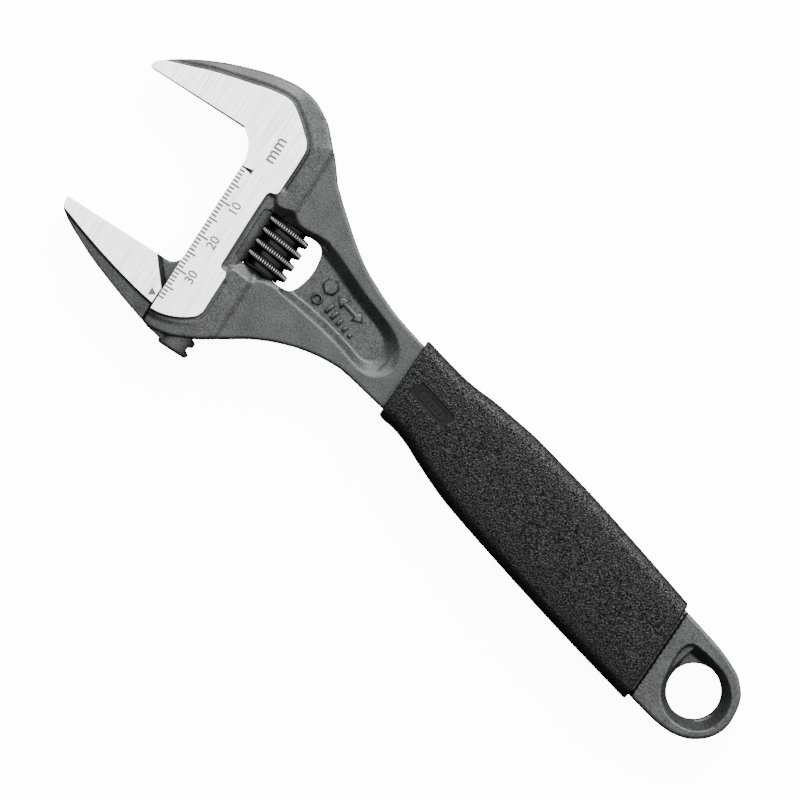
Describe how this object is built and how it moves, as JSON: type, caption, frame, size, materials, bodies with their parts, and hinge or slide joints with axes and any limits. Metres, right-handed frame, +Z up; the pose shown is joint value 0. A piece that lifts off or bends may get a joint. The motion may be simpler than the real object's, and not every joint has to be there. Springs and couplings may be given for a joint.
{
  "type": "adjustable wrench",
  "caption": "Wide-opening adjustable wrench: sliding lower jaw driven by a worm knurl, millimetre scale on the head, moulded grip and hanging eye.",
  "frame": {"origin": "on the surface the wrench lies on, under the middle of its footprint with the jaw fully open", "axes": "+X along the handle towards the head, +Y towards the movable jaw's side, +Z up through the thickness"},
  "size_m": [0.2182, 0.0694, 0.016],
  "materials": {
    "forged_steel": "satin forged surface with ground bright faces",
    "jaw_steel": "ground bright faces, satin sides",
    "black_oxide_steel": "black oxide, worn bright on the serrations",
    "pin_steel": "plain turned steel",
    "spring_steel": "drawn wire",
    "moulded_grip": "black, fine pebble texture"
  },
  "bodies": {
    "wrench": {"body": "forged_steel", "grip_sleeve": "moulded_grip", "knurl_pin": "pin_steel", "knurl_spring": "spring_steel"},
    "jaw": {"movable_jaw": "jaw_steel"},
    "worm": {"knurl": "black_oxide_steel"}
  },
  "joints": [
    {"name": "jaw_slide", "type": "slide", "parent": "wrench", "child": "jaw", "axis": [0.2588, -0.9659, 0], "range_m": [0, 0.038]},
    {"name": "knurl_spin", "type": "hinge", "parent": "wrench", "child": "worm", "pos_m": [0.05421, -0.00259, 0.008], "axis": [0.2588, -0.9659, 0], "range_deg": [0, 4175]}
  ],
  "couplings": [
    {"joint": "knurl_spin", "follows": "jaw_slide", "rad_per_m": 1915.6}
  ]
}
